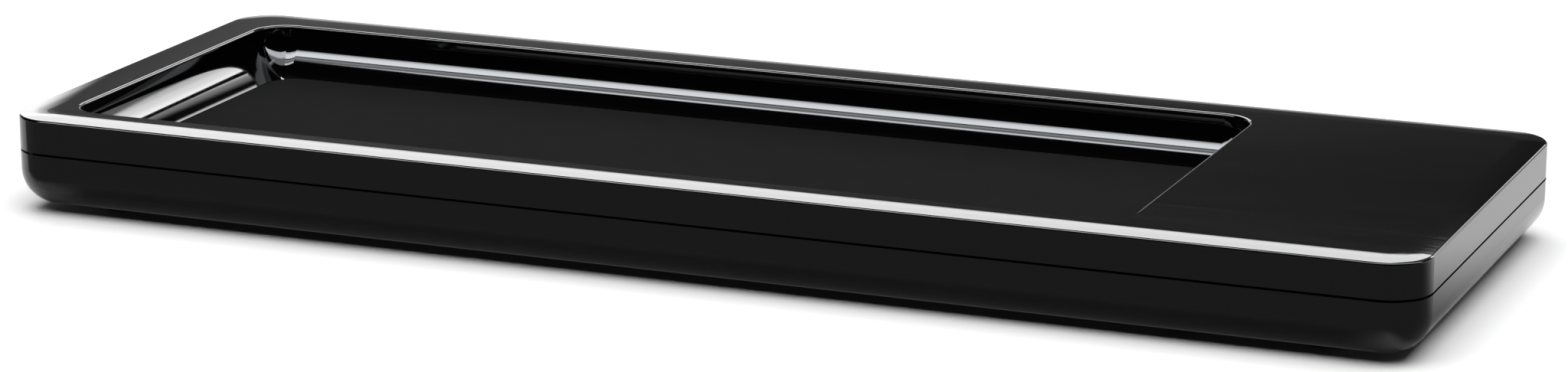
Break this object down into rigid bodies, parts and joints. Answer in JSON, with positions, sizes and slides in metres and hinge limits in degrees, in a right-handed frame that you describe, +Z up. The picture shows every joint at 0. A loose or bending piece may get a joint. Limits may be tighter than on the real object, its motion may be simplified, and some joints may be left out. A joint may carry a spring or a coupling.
{
  "type": "demagnetizer",
  "caption": "Flat two-shell bench demagnetizer with a lined tray for a watch, a rectangular coil around the tray and pulse electronics beside it.",
  "frame": {"origin": "centre of the bounding box on the plane of the feet's undersides", "axes": "+X along the length from the tray towards the blank panel, +Y towards the rear wall with the power inlet, +Z up"},
  "size_m": [0.31, 0.11, 0.0214],
  "materials": {
    "shell_gloss": "high gloss black moulding",
    "mat_rubber": "matt dark grey, very fine surface",
    "foot_rubber": "matt black",
    "screw_black": "blackened steel",
    "former_plastic": "natural nylon",
    "copper": "enamelled copper wire",
    "amber_tape": "polyimide tape",
    "wire_red": "silicone insulation",
    "wire_black": "silicone insulation",
    "bright_steel": "zinc plated",
    "tinned_wire": "tinned",
    "board_green": "solder mask",
    "capacitor_sleeve": "shrunk sleeve",
    "film_red": "dipped box",
    "ferrite": "ferrite grey",
    "aluminium_plate": "milled",
    "chip_black": "moulded epoxy",
    "brass_contact": "stamped",
    "fuse_glass": "clear",
    "terminal_green": "moulded",
    "socket_cream": "moulded",
    "led_lens": "clear epoxy",
    "ribbon_grey": "flat ribbon",
    "switch_black": "fine texture",
    "spring_steel": "bright"
  },
  "bodies": {
    "housing": {"upper_housing": "shell_gloss", "lower_housing": "shell_gloss", "tray_mat": "mat_rubber", "foot_front_left": "foot_rubber", "foot_front_right": "foot_rubber", "foot_rear_left": "foot_rubber", "foot_rear_right": "foot_rubber", "housing_screws": "screw_black", "tray_screws": "screw_black", "coil_former": "former_plastic", "coil_winding": "copper", "coil_tape": "amber_tape", "coil_lead_start": "wire_red", "coil_lead_finish": "wire_black", "thermal_cutoff": "bright_steel", "thermal_leads": "tinned_wire", "control_board": "board_green", "board_screws": "bright_steel", "pulse_capacitor_1": "capacitor_sleeve", "pulse_capacitor_2": "capacitor_sleeve", "pulse_capacitor_3": "capacitor_sleeve", "pulse_capacitor_4": "capacitor_sleeve", "resonance_capacitor": "film_red", "input_capacitor": "chip_black", "inductor_core": "ferrite", "inductor_winding": "copper", "pulse_thyristor": "chip_black", "heat_spreader": "aluminium_plate", "thyristor_screw": "bright_steel", "control_chip": "chip_black", "driver_chip": "chip_black", "small_resistors": "chip_black", "input_fuse": "fuse_glass", "fuse_clips": "brass_contact", "coil_terminal": "terminal_green", "terminal_screws": "bright_steel", "board_socket": "socket_cream", "sensor_board": "board_green", "sensor_screws": "bright_steel", "touch_pad": "copper", "status_leds": "led_lens", "sensor_ribbon": "ribbon_grey", "inlet_body": "switch_black", "inlet_pin": "tinned_wire", "inlet_spring": "brass_contact", "switch_body": "switch_black", "fixed_contact": "brass_contact", "common_contact": "brass_contact", "switch_wire_supply": "wire_red", "switch_wire_board": "wire_red"},
    "rocker": {"switch_rocker": "switch_black", "rocker_plunger": "former_plastic", "plunger_spring": "spring_steel"},
    "lever": {"contact_lever": "brass_contact"}
  },
  "joints": [
    {"name": "rocker_tilt", "type": "hinge", "parent": "housing", "child": "rocker", "pos_m": [0.1315, 0.0518, 0.0147], "axis": [0, 0, -1], "range_deg": [0, 20]},
    {"name": "lever_tilt", "type": "hinge", "parent": "housing", "child": "lever", "pos_m": [0.1315, 0.04675, 0.0147], "axis": [0, 0, 1], "range_deg": [0, 14]}
  ],
  "couplings": [
    {"joint": "lever_tilt", "follows": "rocker_tilt", "ratio": 0.7}
  ]
}
